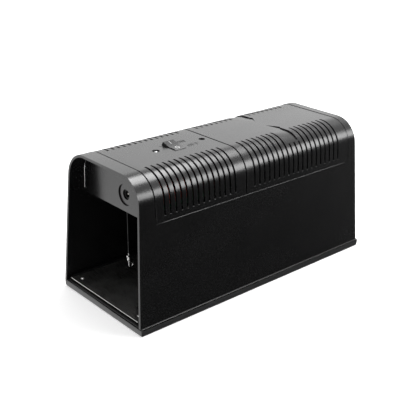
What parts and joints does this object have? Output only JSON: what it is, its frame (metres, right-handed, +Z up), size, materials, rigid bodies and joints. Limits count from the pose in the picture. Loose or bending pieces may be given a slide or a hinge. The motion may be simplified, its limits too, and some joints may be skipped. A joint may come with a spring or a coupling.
{
  "type": "electronic rat trap",
  "caption": "Tunnel-type electronic rat trap: drafted shell with rounded shoulders and vent slots, shock-plate floor, rocker switch, lift-off battery cover.",
  "frame": {"origin": "middle of the underside of the base rim, on the surface the trap stands on", "axes": "+Z up, the tunnel opens towards -Y, +X to the right seen from the opening"},
  "size_m": [0.1262, 0.291, 0.1435],
  "materials": {
    "shell_plastic": "semi-gloss black",
    "inner_plastic": "matte black",
    "rocker_plastic": "semi-gloss black",
    "stainless": "brushed",
    "screw_steel": "zinc plated",
    "nickel": "nickel plated",
    "brass": "plain",
    "hook_steel": "bright wire",
    "led_lens": "clear",
    "circuit_board": "solder mask",
    "ferrite": "matte",
    "capacitor_case": "satin",
    "component_case": "satin",
    "cell_can": "printed wrap",
    "lead_insulation": "smooth"
  },
  "bodies": {
    "housing": {"base_tray": "shell_plastic", "floor_deck": "inner_plastic", "shock_plate_front": "stainless", "shock_plate_middle": "stainless", "shock_plate_rear": "stainless", "plate_rivets": "stainless", "outer_shell": "shell_plastic", "compartment_tray": "shell_plastic", "front_cover": "shell_plastic", "front_cover_screw": "screw_steel", "switch_housing": "inner_plastic", "switch_terminals": "brass", "switch_leads": "lead_insulation", "status_led": "led_lens", "led_leads": "nickel", "control_board": "circuit_board", "hv_transformer": "ferrite", "hv_capacitors": "capacitor_case", "board_components": "component_case", "dc_jack": "inner_plastic", "dc_jack_pin": "nickel", "battery_cell_1": "cell_can", "battery_cell_2": "cell_can", "battery_cell_3": "cell_can", "battery_cell_4": "cell_can", "battery_spring_front": "nickel", "battery_spring_rear": "nickel", "battery_contacts": "nickel", "battery_leads": "lead_insulation", "hook_pin": "hook_steel", "wire_duct": "inner_plastic", "hv_leads": "lead_insulation", "base_screws": "screw_steel", "tray_screws": "screw_steel", "board_screws": "screw_steel"},
    "rocker": {"power_rocker": "rocker_plastic"},
    "battery_cover": {"battery_cover": "shell_plastic"},
    "bait_hook": {"bait_hook": "hook_steel"}
  },
  "joints": [
    {"name": "rocker_rock", "type": "hinge", "parent": "housing", "child": "rocker", "pos_m": [0, -0.05847, 0.137], "axis": [0, -1, 0], "range_deg": [0, 16]},
    {"name": "battery_cover_lift", "type": "slide", "parent": "housing", "child": "battery_cover", "axis": [0, 0, 1], "range_m": [0, 0.08]},
    {"name": "hook_swing", "type": "hinge", "parent": "housing", "child": "bait_hook", "pos_m": [0, -0.11247, 0.0936], "axis": [1, 0, 0], "range_deg": [-35, 35]}
  ]
}
